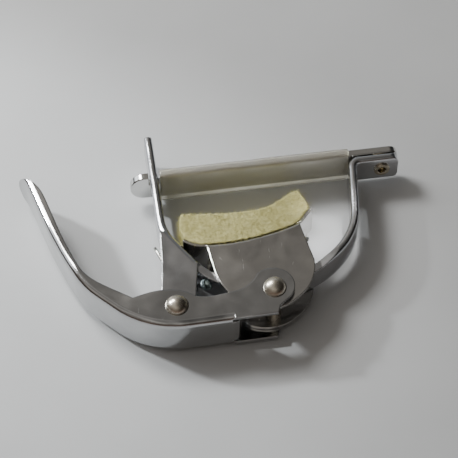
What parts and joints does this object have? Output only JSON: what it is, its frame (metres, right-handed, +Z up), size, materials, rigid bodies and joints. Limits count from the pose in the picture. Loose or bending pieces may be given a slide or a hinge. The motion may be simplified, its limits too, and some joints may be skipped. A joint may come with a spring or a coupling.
{
  "type": "guitar capo",
  "caption": "Spring clamp for a guitar neck: bent strap frame, squeeze handle, felt pad on a pivoting cradle and a sleeved bar that swings open",
  "frame": {"origin": "middle of the footprint, on the plane it lies on", "axes": "+X along the bar from its free end to its swivel, +Y from the handle's rivets towards the bar, +Z up, across the capo's width"},
  "size_m": [0.1109, 0.0695, 0.0163],
  "materials": {
    "strap_chrome": "polished nickel-chrome plate, lightly worn",
    "lever_chrome": "polished plate on pressed sheet",
    "cradle_chrome": "polished plate on folded sheet",
    "bar_chrome": "polished plate",
    "nickel": "nickel-plated rivet",
    "zinc": "zinc-plated, bluish",
    "spring_wire": "drawn spring wire",
    "brass": "tarnished brass",
    "adhesive": "dried glue",
    "felt": "dense wool felt",
    "sleeve_vinyl": "clear vinyl tube, yellowed"
  },
  "bodies": {
    "frame_body": {"frame": "strap_chrome", "stop_rivet": "zinc", "lever_rivet": "nickel", "lever_rivet_washer": "nickel", "spring_bush": "zinc", "lever_spring": "spring_wire", "swivel_rivet": "brass", "swivel_washer": "brass"},
    "lever_body": {"lever": "lever_chrome", "cradle_rivet": "nickel", "cradle_rivet_washer": "nickel", "cradle_spacer": "nickel"},
    "cradle_body": {"cradle": "cradle_chrome", "pad_adhesive": "adhesive", "felt_pad": "felt"},
    "bar_body": {"bar": "bar_chrome", "bar_sleeve": "sleeve_vinyl"}
  },
  "joints": [
    {"name": "lever_pivot", "type": "hinge", "parent": "frame_body", "child": "lever_body", "pos_m": [-0.01545, -0.0278, 0.00743], "axis": [0, 0, 1], "range_deg": [-16, 0], "stiffness_Nm_per_rad": 0.8, "springref_deg": 28.65, "deforming": ["lever_spring"]},
    {"name": "cradle_pivot", "type": "hinge", "parent": "lever_body", "child": "cradle_body", "pos_m": [0.01185, -0.0256, 0.00743], "axis": [0, 0, 1], "range_deg": [0, 6.4]},
    {"name": "bar_swivel", "type": "hinge", "parent": "frame_body", "child": "bar_body", "pos_m": [0.05075, 0.0205, 0.00743], "axis": [0, -1, 0], "range_deg": [0, 100]}
  ],
  "couplings": [
    {"joint": "cradle_pivot", "follows": "lever_pivot", "ratio": -0.4}
  ]
}
